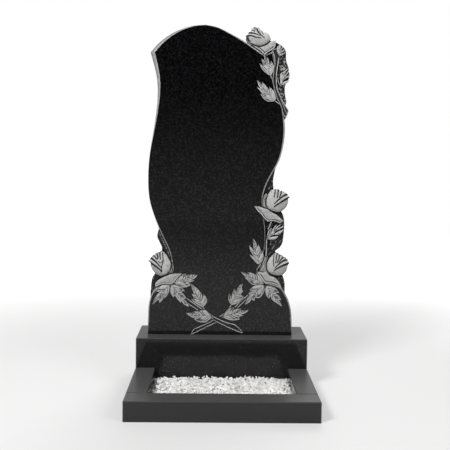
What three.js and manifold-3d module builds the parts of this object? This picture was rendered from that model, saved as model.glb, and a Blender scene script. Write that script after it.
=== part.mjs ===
import * as THREE from 'three'
import Module from 'manifold-3d'

const wasm = await Module()
wasm.setup()

// Driving sizes in millimetres. X runs to the viewer's right, Y to the back
// and Z up, with the origin at the middle of the footprint on the ground.
const PLINTH_WIDTH = 700
const PLINTH_DEPTH = 200
const PLINTH_HEIGHT = 195
const KERB_WIDTH = 80
const KERB_HEIGHT = 75
const BED_REACH = 355
const CHIP_LEVEL = 37
const CHIP_PITCH = 20
const CHIP_ROUGHNESS = 7
const EDGE_CHAMFER = 3
const JOINT_GAP = 0.3

// The upright stone: its own origin is at the foot of its polished face,
// in the middle of its width, and depths run back from that face.
const STELE_WIDTH = 600
const STELE_HEIGHT = 1280
const STELE_THICKNESS = 80
const STELE_SETBACK = 60
const STELE_SHIFT = -8
const ARCH_RADIUS = 282.5
const ARCH_PEAK_X = -74
const WIDE_BEVEL = 18
const NARROW_BEVEL = 3.5

// Carving depths below the polished face, and sizes shared by its motifs.
const GROUND_DEPTH = 20
const SUNK_DEPTH = 5
const RIB_DEPTH = 0.8
const RAISED_DEPTH = 4
const LINE_WIDTH = 3.2
const LINE_DEPTH = 2
const STEM_WIDTH = 10
const ROSE_RADIUS = 46
const HEART_SHIFT = 0.42
const PETAL_HALF = 9.2
const LEAF_FULLNESS = 0.26
const SMALLEST_STEP = 0.05

const TOTAL_DEPTH = BED_REACH + PLINTH_DEPTH
const FRONT_Y = -TOTAL_DEPTH / 2
const PLINTH_FRONT_Y = FRONT_Y + BED_REACH
const SHOULDER = STELE_WIDTH / 2

// A loose hash in the range 0 to 1, so that rough surfaces repeat exactly.
function hash(a, b) {
  const wave = Math.sin(a * 12.9898 + b * 78.233) * 43758.5453
  return wave - Math.floor(wave)
}

const lerp = (from, to, t) => from + (to - from) * t
const between = (from, to, t) => from.map((value, axis) => lerp(value, to[axis], t))

// Welds equal corners and drops the faces that close up, so that pointed
// ends stay closed surfaces.
function makeSolid(corners, faces) {
  const known = new Map()
  const points = []
  const welded = corners.map((corner) => {
    const key = corner.map((value) => Math.round(value * 1000)).join()
    if (!known.has(key)) {
      known.set(key, points.length)
      points.push(corner)
    }
    return known.get(key)
  })
  const kept = faces
    .map((face) => face.map((index) => welded[index]))
    .filter(([a, b, c]) => a !== b && b !== c && c !== a)
  return new wasm.Manifold(new wasm.Mesh({
    numProp: 3,
    vertProperties: new Float32Array(points.flat()),
    triVerts: new Uint32Array(kept.flat()),
  }))
}

// Joins rings of equal length; the first ring runs counter-clockwise as seen
// from outside, and both end rings are filled flat.
function loft(rings, flatten) {
  const count = rings[0].length
  const faces = []
  for (let ring = 0; ring + 1 < rings.length; ring += 1) {
    for (let i = 0; i < count; i += 1) {
      const next = (i + 1) % count
      const near = ring * count
      const far = near + count
      faces.push([near + i, far + i, near + next])
      faces.push([near + next, far + i, far + next])
    }
  }
  const cap = (ring) => THREE.ShapeUtils.triangulateShape(ring.map(flatten), [])
  const last = (rings.length - 1) * count
  for (const [a, b, c] of cap(rings[0])) {
    faces.push([a, b, c])
  }
  for (const [a, b, c] of cap(rings[rings.length - 1])) {
    faces.push([last + a, last + c, last + b])
  }
  return makeSolid(rings.flat(), faces)
}

const facePlane = ([x, , z]) => new THREE.Vector2(x, z)
const groundPlane = ([x, y]) => new THREE.Vector2(x, y)

// A slab between two depths behind the polished face, from a flat outline.
function slab(outline, front, back) {
  const ring = (depth) => outline.map(([x, z]) => [x, depth, z])
  return loft([ring(front), ring(back)], facePlane)
}

// A block standing on the ground with its top edges chamfered.
function block(width, depth, height, chamfer) {
  const ring = (inset, z) => {
    const x = width / 2 - inset
    const y = depth / 2 - inset
    return [[-x, -y, z], [x, -y, z], [x, y, z], [-x, y, z]]
  }
  return loft([ring(chamfer, height), ring(0, height - chamfer), ring(0, 0)], groundPlane)
}

// A smooth run through hand-chosen points, by the Catmull-Rom formula.
function curve(points, steps) {
  const at = (i) => points[Math.max(0, Math.min(points.length - 1, i))]
  const run = [points[0]]
  for (let i = 0; i + 1 < points.length; i += 1) {
    const [p, q, r, s] = [at(i - 1), at(i), at(i + 1), at(i + 2)]
    for (let step = 1; step <= steps; step += 1) {
      const t = step / steps
      const blend = (axis) => {
        const slope = (r[axis] - p[axis]) * t
        const bend = (2 * p[axis] - 5 * q[axis] + 4 * r[axis] - s[axis]) * t * t
        const turn = (3 * q[axis] - 3 * r[axis] + s[axis] - p[axis]) * t * t * t
        return q[axis] + (slope + bend + turn) / 2
      }
      run.push([blend(0), blend(1)])
    }
  }
  return run
}

// A carved blade: left edge, rib and right edge are rows of [x, depth, z],
// closed by a flat side at one depth. A flat side in front makes a cutter.
function blade(left, rib, right, flat) {
  const drop = (row) => row.map(([x, , z]) => [x, flat, z])
  const rows = [left, rib, right, drop(right), drop(left)]
  const count = rib.length
  const faces = []
  rows.forEach((row, r) => {
    const here = r * count
    const there = ((r + 1) % rows.length) * count
    for (let i = 0; i + 1 < count; i += 1) {
      faces.push([here + i, there + i, here + i + 1])
      faces.push([here + i + 1, there + i, there + i + 1])
    }
  })
  const end = count - 1
  for (const r of [1, 2, 3]) {
    faces.push([0, (r + 1) * count, r * count])
    faces.push([end, r * count + end, (r + 1) * count + end])
  }
  const facing = flat < rib[0][1] ? faces.map(([a, b, c]) => [a, c, b]) : faces
  return makeSolid(rows.flat(), facing)
}

// Turns leaf coordinates (along, across) into face coordinates, so that one
// pattern serves every place and size.
function placer(base, tip) {
  const [dx, dz] = [tip[0] - base[0], tip[1] - base[1]]
  return (along, across) => [
    base[0] + dx * along + dz * across,
    base[1] + dz * along - dx * across,
  ]
}

// One side of a lobed leaf from base to tip: how far along, how far across
// as a share of the fullness, how far along its rib, and how raised.
const LEAF_PATTERN = [
  [0, 0, 0, 0],
  [0.07, 0.5, 0.06, 0],
  [0.22, 0.86, 0.15, 0.1],
  [0.47, 1.05, 0.27, 0.5],
  [0.42, 0.62, 0.36, 0],
  [0.52, 0.62, 0.43, 0.1],
  [0.76, 0.62, 0.52, 0.5],
  [0.68, 0.26, 0.64, 0],
  [0.84, 0.2, 0.8, 0.1],
  [1, 0, 1, 0],
]

function leaf(base, tip, edge, crest, flat, fullness = LEAF_FULLNESS) {
  const place = placer(base, tip)
  const at = (along, across, depth) => {
    const [x, z] = place(along, across)
    return [x, depth, z]
  }
  const side = (sign) => LEAF_PATTERN.map(([along, across, , rise]) =>
    at(along, sign * across * fullness, lerp(edge, crest, rise)))
  const rib = LEAF_PATTERN.map(([, , along]) =>
    at(along, 0, lerp(edge, crest, Math.min(1, 6 * along * (1 - along)))))
  return blade(side(-1), rib, side(1), flat)
}

// A plain smooth sepal: a lens with unlike bulges on its two sides.
function sepal(base, tip, bulgeLeft, bulgeRight, edge, crest, flat) {
  const place = placer(base, tip)
  const length = Math.hypot(tip[0] - base[0], tip[1] - base[1])
  const steps = 8
  const row = (share) => Array.from({ length: steps + 1 }, (_, i) => {
    const t = i / steps
    const swell = Math.sin(Math.PI * t) ** 0.8
    const across = lerp(-bulgeLeft, bulgeRight, share) * swell / length
    const rise = share === 0.5 ? Math.min(1, 3 * swell) : 0
    const [x, z] = place(t, across)
    return [x, lerp(edge, crest, rise), z]
  })
  return blade(row(0), row(0.5), row(1), flat)
}

// A ridge, or with its rib deeper than its sides a groove, along a run.
function ridge(run, width, edge, crest, flat) {
  const rows = [[], [], []]
  run.forEach((point, i) => {
    const before = run[Math.max(0, i - 1)]
    const after = run[Math.min(run.length - 1, i + 1)]
    const reach = Math.hypot(after[0] - before[0], after[1] - before[1])
    const half = (Array.isArray(width) ? lerp(...width, i / (run.length - 1)) : width) / 2
    const nx = -(after[1] - before[1]) / reach * half
    const nz = (after[0] - before[0]) / reach * half
    rows[0].push([point[0] + nx, edge, point[1] + nz])
    rows[1].push([point[0], crest, point[1]])
    rows[2].push([point[0] - nx, edge, point[1] - nz])
  })
  return blade(rows[0], rows[1], rows[2], flat)
}

const sunkLeaf = (base, tip) => leaf(base, tip, SUNK_DEPTH, RIB_DEPTH, -1)
const raisedLeaf = (base, tip) => leaf(base, tip, GROUND_DEPTH - 8, RAISED_DEPTH, GROUND_DEPTH + 2)
const line = (run) => ridge(run, LINE_WIDTH, -0.2, LINE_DEPTH, -1)

// A bloom seen from its side: a round bowl of petals with a fan of pointed
// petals opening towards one direction, given in degrees.
function rose(centre, radius, facing) {
  const around = 24
  const bowl = (share, depth, shift) => Array.from({ length: around }, (_, i) => {
    const angle = (i / around) * 2 * Math.PI
    const reach = radius * share
    return [
      centre[0] + shift * turnX(facing) + reach * Math.cos(angle),
      depth,
      centre[1] + shift * turnZ(facing) + reach * Math.sin(angle),
    ]
  })
  const levels = [[0.3, 2.5], [0.55, 4], [0.78, 8], [0.93, 13], [1, GROUND_DEPTH + 2]]
  let bloom = loft(levels.map(([share, depth]) => bowl(share * 0.94, depth, -3)), facePlane)
  const heart = polar(centre, -HEART_SHIFT * radius, facing)
  for (let petal = -2; petal <= 2; petal += 1) {
    const lean = petal * 20
    const offset = HEART_SHIFT * turnZ(lean)
    const rimReach = HEART_SHIFT * turnX(lean) + Math.sqrt(1 - offset * offset)
    const reach = radius * (petal % 2 ? 1.03 : 1.1) * rimReach
    const crest = petal % 2 ? 3.5 : 1
    const spread = (turn, share, depth) => {
      const [x, z] = polar(heart, reach * share, facing + lean + turn)
      return [x, depth, z]
    }
    const side = (sign) => [
      spread(0, 0.14, crest + 3.5),
      spread(sign * PETAL_HALF, 0.45, crest + 5),
      spread(sign * PETAL_HALF, 0.9, crest + 3.5),
      spread(0, 1, crest + 1),
    ]
    const rib = [0.14, 0.45, 0.9, 1].map((share) => spread(0, share, crest))
    bloom = bloom.add(blade(side(1), rib, side(-1), GROUND_DEPTH - 2))
  }
  return bloom
}

const turnX = (degrees) => Math.cos(THREE.MathUtils.degToRad(degrees))
const turnZ = (degrees) => Math.sin(THREE.MathUtils.degToRad(degrees))
const polar = (from, reach, degrees) =>
  [from[0] + reach * turnX(degrees), from[1] + reach * turnZ(degrees)]

// The polished face, counter-clockwise from its left foot: the straight foot,
// the right flank, the arch and the waisted left flank down to the left rose.
const SHOULDER_CURVE = [[SHOULDER, 60], [294, 107], [279, 156], [256, 199], [228, 213]]
const RIGHT_FLANK = curve([
  [152, 272], [166, 305], [177, 342], [184, 395], [181, 455], [171, 520], [169, 574],
  [181, 626], [201, 668], [227, 716], [242, 758], [253, 820], [254, 880], [240, 962],
  [219, 1012], [213, 1057], [215, 1110], [203, 1178],
], 3)
const RIGHT_ARCH = curve([[168, 1161], [102, 1205], [60, 1230], [-19, 1268], [ARCH_PEAK_X, STELE_HEIGHT]], 3)
const LEFT_FLANK = curve([
  [-300, 1167], [-273, 1069], [-267, 985], [-276, 879], [-297, 743], [-301, 645],
  [-292, 560], [-268, 482], [-246, 428], [-210, 353], [-198, 300], [-201, 254],
], 4)

function leftArch(steps) {
  const half = Math.asin((LEFT_FLANK[0][0] - ARCH_PEAK_X) / ARCH_RADIUS)
  return Array.from({ length: steps }, (_, i) => {
    const angle = half * (i + 1) / (steps + 1)
    const x = ARCH_PEAK_X + ARCH_RADIUS * Math.sin(angle)
    return [x, STELE_HEIGHT - ARCH_RADIUS * (1 - Math.cos(angle))]
  })
}

// The bevel is widest at the upper left corner and narrow elsewhere.
function bevelWidth([x, z]) {
  const corner = LEFT_FLANK[0]
  const onLeft = x < ARCH_PEAK_X && z > 700
  const away = Math.hypot(x - corner[0], z - corner[1])
  const fade = z > corner[1] ? 1 - away / 250 : 1 - away / 400
  if (z < 1) {
    return 0.5
  }
  return onLeft ? Math.max(NARROW_BEVEL, WIDE_BEVEL * fade) : NARROW_BEVEL
}

function bevelled(outline) {
  const count = outline.length
  const inner = outline.map((point, i) => {
    const before = outline[(i + count - 1) % count]
    const after = outline[(i + 1) % count]
    const normal = (a, b) => {
      const reach = Math.hypot(b[0] - a[0], b[1] - a[1])
      return [-(b[1] - a[1]) / reach, (b[0] - a[0]) / reach]
    }
    const [m, n] = [normal(before, point), normal(point, after)]
    const sum = [m[0] + n[0], m[1] + n[1]]
    const scale = 2 * bevelWidth(point) / Math.max(0.8, sum[0] ** 2 + sum[1] ** 2)
    return [point[0] + sum[0] * scale, 0, point[1] + sum[1] * scale]
  })
  const ring = (depthOf) => outline.map((point) => [point[0], depthOf(point), point[1]])
  const rings = [inner, ring(bevelWidth), ring(() => STELE_THICKNESS)]
  return loft(rings, facePlane)
}

function buildStele() {
  const mirrored = SHOULDER_CURVE.map(([x, z]) => [-x, z]).reverse()
  const outline = [
    [-SHOULDER, 0],
    [SHOULDER, 0],
    ...curve(SHOULDER_CURVE, 3),
    [190, 222],
    ...RIGHT_FLANK,
    ...RIGHT_ARCH,
    ...leftArch(9),
    ...LEFT_FLANK,
    ...curve(mirrored, 3),
  ]
  let stone = bevelled(outline)

  // Lower ground behind the flowers, dressed back from the polished face.
  const grounds = [
    [[-292, 130], [-200, 200], [-190, 300], [-240, 450], [-258, 440], [-266, 408], [-257, 385],
      [-246, 355], [-268, 255], [-284, 235], [-291, 185]],
    [[150, 262], [190, 200], [240, 180], [270, 160], [268, 225], [240, 300], [228, 352], [248, 369], [259, 395],
      [260, 495], [222, 560], [216, 612], [214, 650], [226, 712], [190, 640], [160, 540], [165, 400]],
    [[235, 960], [250, 890], [262, 907], [271, 935], [259, 952], [263, 973], [258, 997], [257, 1040],
      [273, 1072], [271, 1105], [259, 1147], [255, 1186], [224, 1213], [188, 1222], [120, 1210],
      [160, 1150], [210, 1130], [205, 1050]],
  ]
  for (const ground of grounds) {
    stone = stone.add(slab(ground, GROUND_DEPTH, STELE_THICKNESS))
  }

  const roses = [
    [[-250, 291], ROSE_RADIUS, 118],
    [[230, 562], ROSE_RADIUS, 57],
    [[234, 291], ROSE_RADIUS, 57],
    [[144, 1236], ROSE_RADIUS * 0.98, 142],
  ]
  for (const [centre, radius, facing] of roses) {
    const rim = Array.from({ length: 24 }, (_, i) => polar(centre, radius * 0.93, i * 15))
    stone = stone.add(slab(rim, GROUND_DEPTH, STELE_THICKNESS))
    stone = stone.add(rose(centre, radius, facing))
  }

  // Smooth sepals under the roses and raised leaves on the lower ground.
  const deep = GROUND_DEPTH + 2
  stone = stone.add(sepal([-271, 208], [-160, 255], 17, 12, 9, 1, deep))
  stone = stone.add(sepal([153, 267], [256, 206], 15, 14, 9, 1, deep))
  stone = stone.add(sepal([137, 539], [257, 480], 10, 27, 9, 1, deep))
  const cup = [[110, 1190], [168, 1150], [213, 1194], [214, 1222], [196, 1216], [150, 1207]]
  stone = stone.add(slab(cup, 6.7, deep))
  stone = stone.add(sepal([105, 1209], [169, 1158], 15, 2, 9, 1, deep))
  stone = stone.add(sepal([169, 1158], [216, 1224], 15, 2, 9, 1, deep))
  const raised = [
    [[193, 400], [270, 463]],
    [[230, 1152], [242, 1212]],
    [[241, 1036], [270, 1108]],
  ]
  for (const [base, tip] of raised) {
    stone = stone.add(raisedLeaf(base, tip))
  }
  const topStem = curve([[207, 1180], [217, 1146], [216, 1095], [217, 1050], [228, 1005], [264, 925]], 3)
  stone = stone.add(ridge(topStem, [7, 16], 8, 2, deep))

  // Leaves sunk into the polished face: first the left spray, then the right
  // one as it grows up from the crossing, then the two leaves near the top.
  const sunk = [
    [[-188, 214], [-95, 250]],
    [[-213, 208], [-279, 127]],
    [[-205, 207], [-131, 119]],
    [[-73, 116], [-121, 211]],
    [[-36, 76], [-140, 89]],
    [[50, 127], [92, 213]],
    [[14, 79], [117, 104]],
    [[180, 216], [88, 264]],
    [[181, 209], [106, 131]],
    [[189, 207], [257, 124]],
    [[168, 300], [133, 402]],
    [[193, 1080], [169, 1158]],
    [[215, 976], [140, 1057]],
  ]
  for (const [base, tip] of sunk) {
    stone = stone.subtract(sunkLeaf(base, tip))
  }

  // Stems drawn by grooves on both sides, crossing over each other.
  const stems = [
    [[-128, 142], [-84, 106], [-38, 78], [-2, 57], [35, 41], [76, 22]],
    [[104, 152], [68, 114], [18, 82], [-14, 64], [-50, 44], [-100, 17]],
  ]
  stems.forEach((points, i) => {
    const half = STEM_WIDTH / 2
    for (const sign of [-half, half]) {
      const run = curve(points, 2).map(([x, z]) => [x + (i ? -0.5 : 0.5) * sign, z + 0.85 * sign])
      stone = stone.subtract(line(run))
    }
    const [end, before] = [points[points.length - 1], points[points.length - 2]]
    const cut = between(end, before, -0.35)
    stone = stone.subtract(line([[end[0], end[1] + half], cut, [end[0], end[1] - half]]))
  })
  stone = stone.subtract(line([[213, 976], [222, 966], [238, 955]]))
  stone = stone.subtract(line([[195, 1078], [205, 1062], [210, 1046]]))
  stone = stone.subtract(line([[167, 300], [158, 286], [150, 274]]))
  return stone.simplify(SMALLEST_STEP)
}

// The white chips fill the bed from the ground up as one rough-topped layer.
function buildChips(width, depth) {
  const columns = Math.round(width / CHIP_PITCH)
  const rows = Math.round(depth / CHIP_PITCH)
  const corners = []
  const faces = []
  const index = (i, j) => j * (columns + 1) + i
  for (let j = 0; j <= rows; j += 1) {
    for (let i = 0; i <= columns; i += 1) {
      const inside = i > 0 && j > 0 && i < columns && j < rows
      const shake = inside ? CHIP_PITCH * 0.7 : 0
      const x = (i / columns - 0.5) * width + (hash(i, j) - 0.5) * shake
      const y = (j / rows - 0.5) * depth + (hash(j + 40, i) - 0.5) * shake
      corners.push([x, y, CHIP_LEVEL + (hash(i + 9, j + 70) - 0.5) * 2 * CHIP_ROUGHNESS])
    }
  }
  for (let j = 0; j < rows; j += 1) {
    for (let i = 0; i < columns; i += 1) {
      faces.push([index(i, j), index(i + 1, j), index(i + 1, j + 1)])
      faces.push([index(i, j), index(i + 1, j + 1), index(i, j + 1)])
    }
  }
  const rim = []
  for (let i = 0; i < columns; i += 1) {
    rim.push(index(i, 0))
  }
  for (let j = 0; j < rows; j += 1) {
    rim.push(index(columns, j))
  }
  for (let i = columns; i > 0; i -= 1) {
    rim.push(index(i, rows))
  }
  for (let j = rows; j > 0; j -= 1) {
    rim.push(index(0, j))
  }
  const foot = corners.length
  rim.forEach((corner) => corners.push([corners[corner][0], corners[corner][1], 0]))
  const middle = corners.length
  corners.push([0, 0, 0])
  rim.forEach((corner, i) => {
    const next = (i + 1) % rim.length
    faces.push([corner, foot + i, rim[next]])
    faces.push([rim[next], foot + i, foot + next])
    faces.push([foot + i, middle, foot + next])
  })
  return makeSolid(corners, faces)
}

function addPart(group, name, solid, finish, position) {
  const mesh = solid.getMesh()
  const geometry = new THREE.BufferGeometry()
  const positions = Float32Array.from(mesh.vertProperties)
  geometry.setAttribute('position', new THREE.BufferAttribute(positions, 3))
  geometry.setIndex(new THREE.BufferAttribute(Uint32Array.from(mesh.triVerts), 1))
  geometry.computeVertexNormals()
  const part = new THREE.Mesh(geometry, new THREE.MeshStandardMaterial(finish))
  part.name = name
  part.position.set(...position)
  group.add(part)
}

const polishedGranite = { color: '#16171a', roughness: 0.12, metalness: 0 }
const whiteMarble = { color: '#e6e4df', roughness: 0.75, metalness: 0 }

const headstone = new THREE.Group()
headstone.name = 'headstone'

const plinth = block(PLINTH_WIDTH, PLINTH_DEPTH, PLINTH_HEIGHT, EDGE_CHAMFER)
const plinthY = PLINTH_FRONT_Y + PLINTH_DEPTH / 2
addPart(headstone, 'plinth', plinth, polishedGranite, [0, plinthY, 0])

const frontBar = block(PLINTH_WIDTH, KERB_WIDTH, KERB_HEIGHT, EDGE_CHAMFER)
addPart(headstone, 'kerb_front', frontBar, polishedGranite, [0, FRONT_Y + KERB_WIDTH / 2, 0])

const sideLength = BED_REACH - KERB_WIDTH - 2 * JOINT_GAP
const sideY = FRONT_Y + KERB_WIDTH + JOINT_GAP + sideLength / 2
const sideX = (PLINTH_WIDTH - KERB_WIDTH) / 2
const sideBar = block(KERB_WIDTH, sideLength, KERB_HEIGHT, EDGE_CHAMFER)
addPart(headstone, 'kerb_left', sideBar, polishedGranite, [-sideX, sideY, 0])
addPart(headstone, 'kerb_right', sideBar, polishedGranite, [sideX, sideY, 0])

const bedWidth = PLINTH_WIDTH - 2 * (KERB_WIDTH + JOINT_GAP)
addPart(headstone, 'marble_chips', buildChips(bedWidth, sideLength), whiteMarble, [0, sideY, 0])

const stelePlace = [STELE_SHIFT, PLINTH_FRONT_Y + STELE_SETBACK, PLINTH_HEIGHT + JOINT_GAP]
addPart(headstone, 'stele', buildStele(), polishedGranite, stelePlace)

export default headstone
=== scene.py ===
import math
import bmesh
import bpy
import numpy as np
from mathutils import Matrix, Vector
from mathutils.geometry import delaunay_2d_cdt, tessellate_polygon


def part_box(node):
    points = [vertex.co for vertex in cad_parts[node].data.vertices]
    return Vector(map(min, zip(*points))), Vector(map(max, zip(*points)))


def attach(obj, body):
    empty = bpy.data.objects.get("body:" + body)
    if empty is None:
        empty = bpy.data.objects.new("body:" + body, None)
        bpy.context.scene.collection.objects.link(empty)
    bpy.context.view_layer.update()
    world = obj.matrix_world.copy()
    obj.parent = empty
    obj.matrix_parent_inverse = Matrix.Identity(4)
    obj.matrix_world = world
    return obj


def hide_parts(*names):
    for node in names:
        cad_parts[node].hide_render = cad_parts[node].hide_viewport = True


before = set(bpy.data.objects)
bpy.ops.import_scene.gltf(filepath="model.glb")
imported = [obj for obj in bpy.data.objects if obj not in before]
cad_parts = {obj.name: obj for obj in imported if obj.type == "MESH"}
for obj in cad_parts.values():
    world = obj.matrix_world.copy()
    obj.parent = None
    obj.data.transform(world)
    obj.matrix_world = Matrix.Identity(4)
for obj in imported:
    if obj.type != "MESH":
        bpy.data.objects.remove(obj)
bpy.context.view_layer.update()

scene = bpy.context.scene
scene.view_settings.view_transform = "Standard"

# The camera stands in front of the stone at breast height and looks slightly
# down. Its axis meets the picture above the middle, hence the small shift.
CAMERA_PLACE = (-0.036, -2.3865, 0.910)
CAMERA_DOWN = math.radians(2.45)
CAMERA_RIGHT = math.radians(0.94)
CAMERA_ROLL = math.radians(0.8)
FOCAL_PIXELS = 611.4
PICTURE_PIXELS = 450
AXIS_ROW = 189.6
SENSOR = 36.0


def make_camera():
    camera = bpy.data.objects.new("camera", bpy.data.cameras.new("camera"))
    ahead = Vector((
        math.sin(CAMERA_RIGHT) * math.cos(CAMERA_DOWN),
        math.cos(CAMERA_RIGHT) * math.cos(CAMERA_DOWN),
        -math.sin(CAMERA_DOWN)))
    level = Vector((math.cos(CAMERA_RIGHT), -math.sin(CAMERA_RIGHT), 0))
    above = level.cross(ahead)
    right = level * math.cos(CAMERA_ROLL) + above * math.sin(CAMERA_ROLL)
    up = right.cross(ahead)
    turn = Matrix((right, up, -ahead)).transposed().to_4x4()
    camera.matrix_world = Matrix.Translation(CAMERA_PLACE) @ turn
    camera.data.sensor_width = SENSOR
    camera.data.lens = FOCAL_PIXELS / PICTURE_PIXELS * SENSOR
    camera.data.shift_y = (AXIS_ROW - PICTURE_PIXELS / 2) / PICTURE_PIXELS
    bpy.context.collection.objects.link(camera)
    scene.camera = camera


make_camera()

# The upright stone. One slab of black granite, sawn to its waisted outline
# and polished. Roses, sepals, leaves and stems are cut into it by hand with
# chisels, and the cut stone stays light grey beside the polish.
MM = 0.001
FAR = 1e5
STELE_FOOT = Vector((-0.008, 0.1375, 0.1953))
THICKNESS = 80.0
GROUND = 20.0
WALL = 1.3
# Widths of the trench round each form, where the neighbours are cut deeper and darkened with
# painted shade.
SHADED_TRENCH = 4.8
ROSE_SHADED_TRENCH = 6.0
GRID = 1.4


class Wire:
    """One output of a shader node; plain arithmetic on it adds Math nodes."""

    def __init__(self, finish, socket):
        self.finish = finish
        self.socket = socket

    def maths(self, operation, first, second):
        node = self.finish.tree.nodes.new("ShaderNodeMath")
        node.operation = operation
        for socket, value in zip(node.inputs, (first, second)):
            self.finish.feed(socket, value)
        return Wire(self.finish, node.outputs[0])

    def __add__(self, other):
        return self.maths("ADD", self, other)

    def __radd__(self, other):
        return self.maths("ADD", other, self)

    def __sub__(self, other):
        return self.maths("SUBTRACT", self, other)

    def __rsub__(self, other):
        return self.maths("SUBTRACT", other, self)

    def __mul__(self, other):
        return self.maths("MULTIPLY", self, other)

    def __rmul__(self, other):
        return self.maths("MULTIPLY", other, self)


# Sockets of a Mix node that blends colours, and its colour output.
MIX_SHARE, MIX_LOW, MIX_HIGH, MIX_COLOUR = 0, 6, 7, 2


class Finish:
    """The nodes of a material or of the studio's world, and the shader they end in."""

    def __init__(self, owner, shader="Principled BSDF"):
        owner.use_nodes = True
        self.owner = owner
        self.tree = owner.node_tree
        self.shader = self.tree.nodes[shader]

    def feed(self, socket, value):
        if isinstance(value, Wire):
            self.tree.links.new(value.socket, socket)
        else:
            socket.default_value = value

    def node(self, kind, settings, inputs, output=0):
        made = self.tree.nodes.new(kind)
        for key, value in settings.items():
            if key == "stops":
                ramp = made.color_ramp.elements
                while len(ramp) < len(value):
                    ramp.new(1.0)
                for stop, (place, tone) in zip(ramp, value):
                    stop.position = place
                    stop.color = (*tone, 1.0)
            else:
                setattr(made, key, value)
        for key, value in inputs.items():
            self.feed(made.inputs[key], value)
        return Wire(self, made.outputs[output])

    def blend(self, share, low, high):
        inputs = {MIX_SHARE: share, MIX_LOW: low, MIX_HIGH: high}
        return self.node("ShaderNodeMix", {"data_type": "RGBA"}, inputs, MIX_COLOUR)

    def noise(self, where, scale, detail=2.0, rough=0.5):
        inputs = {"Vector": where, "Scale": scale, "Detail": detail, "Roughness": rough}
        return self.node("ShaderNodeTexNoise", {}, inputs)

    def between(self, value, low, high):
        inputs = {"Value": value, "From Min": low, "From Max": high}
        return self.node("ShaderNodeMapRange", {"interpolation_type": "SMOOTHSTEP"}, inputs)

    def surface(self, **inputs):
        for key, value in inputs.items():
            self.feed(self.shader.inputs[key.replace("_", " ")], value)


FLECKS = 140.0
GLINTS = 330.0
POLISH = (0.0010, 0.0010, 0.0012, 1)
FLECK = (0.0075, 0.0078, 0.0086, 1)
GLINT = (0.022, 0.0225, 0.024, 1)
# Grey that the polish is lightened towards lower down: a painted reflection of the floor.
REFLECTED_FLOOR_GREY = (0.026, 0.026, 0.0265, 1)
CUT_DARK, CUT_LIGHT = (0.006, 0.006, 0.0065, 1), (0.60, 0.60, 0.595, 1)


def granite():
    """Black granite: matt is where the polish is broken, and the light attribute is how light the
    stone is there, painted light and shade included.
    """
    black = Finish(bpy.data.materials.new("carved_granite"))
    place = black.node("ShaderNodeTexCoord", {}, {}, "Object")
    matt = black.node("ShaderNodeAttribute", {"attribute_name": "matt"}, {}, "Fac")
    frost = black.node("ShaderNodeAttribute", {"attribute_name": "frost"}, {}, "Fac")
    lay = black.node("ShaderNodeAttribute", {"attribute_name": "lay"}, {}, "Vector")
    height = black.node("ShaderNodeSeparateXYZ", {}, {"Vector": place}, "Z")
    # Painted reflection: lower down the polish is lightened towards grey, fully on plinth and
    # kerb, as the floor mirrored in it.
    painted_floor_reflection = 1 - black.between(height, 0.2, 0.85)
    fleck = black.between(black.noise(place, FLECKS, 2.0), 0.48, 0.70) * (1 - frost)
    glint = black.between(black.noise(place, GLINTS, 1.0), 0.60, 0.74) * (1 - frost)
    polish = black.blend(glint, black.blend(fleck, POLISH, FLECK), GLINT)
    polish = black.blend(0.35 * painted_floor_reflection, polish, REFLECTED_FLOOR_GREY)
    strokes = black.between(black.noise(lay, 1.0, 2.0, 0.6), 0.32, 0.68)
    grain = black.noise(place, 330.0, 2.0, 0.6)
    mottle = black.noise(place, 60.0, 2.0)
    light = frost * (0.52 + 0.52 * strokes + 0.30 * grain + 0.16 * mottle)
    cut = black.blend(light, CUT_DARK, CUT_LIGHT)
    rough = 0.045 + 0.655 * matt
    relief = matt * (0.6 * strokes + 0.4 * grain)
    bump = black.node(
        "ShaderNodeBump", {}, {"Height": relief, "Strength": 0.5, "Distance": 0.0012})
    black.surface(
        Base_Color=black.blend(matt, polish, cut), Roughness=rough, Normal=bump, IOR=1.40,
        Coat_Weight=0.75 * fleck * (1 - matt), Coat_Roughness=0.05)
    return black.owner


GRANITE = granite()

# Outline of the polished face in millimetres from its foot. It follows the
# solid's, with finer curves.
RIGHT_SHOULDER = [(300, 60), (296, 107), (281, 156), (256, 197), (228, 213)]
LEFT_SHOULDER = [
    (-214, 211), (-238, 207), (-254, 201), (-271, 189), (-284, 171), (-291, 152), (-296, 131),
    (-299, 104), (-300, 60)]
RIGHT_FLANK = [
    (152, 272), (166, 305), (177, 342), (184, 395), (181, 455), (171, 520), (170, 574),
    (184, 626), (204, 668), (230, 716), (245, 758), (256, 820), (257, 880), (243, 962),
    (221, 1012), (214, 1057), (215, 1110), (203, 1178)]
RIGHT_ARCH = [(168, 1161), (102, 1205), (60, 1230), (-19, 1268), (-74, 1280)]
LEFT_FLANK = [
    (-300, 1167), (-274, 1069), (-269, 985), (-279, 879), (-299, 743), (-304, 645),
    (-297, 560), (-273, 482), (-251, 428), (-215, 353), (-203, 300), (-206, 254)]
ARCH_RADIUS = 282.5
ARCH_PEAK = (-74, 1280)
ARCH_STEPS = 40
SHOULDER_NOTCH = (190, 222)


def through(points, steps):
    """A smooth run through all the points."""
    points = np.array(points, float)
    last = len(points) - 1
    run = [points[0]]
    for i in range(last):
        p, q, r, s = (points[min(max(k, 0), last)] for k in (i - 1, i, i + 1, i + 2))
        for t in np.arange(1, steps + 1) / steps:
            bend = 2 * p - 5 * q + 4 * r - s
            turn = 3 * q - 3 * r + s - p
            run.append(q + ((r - p) * t + bend * t * t + turn * t ** 3) / 2)
    return np.array(run)


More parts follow.
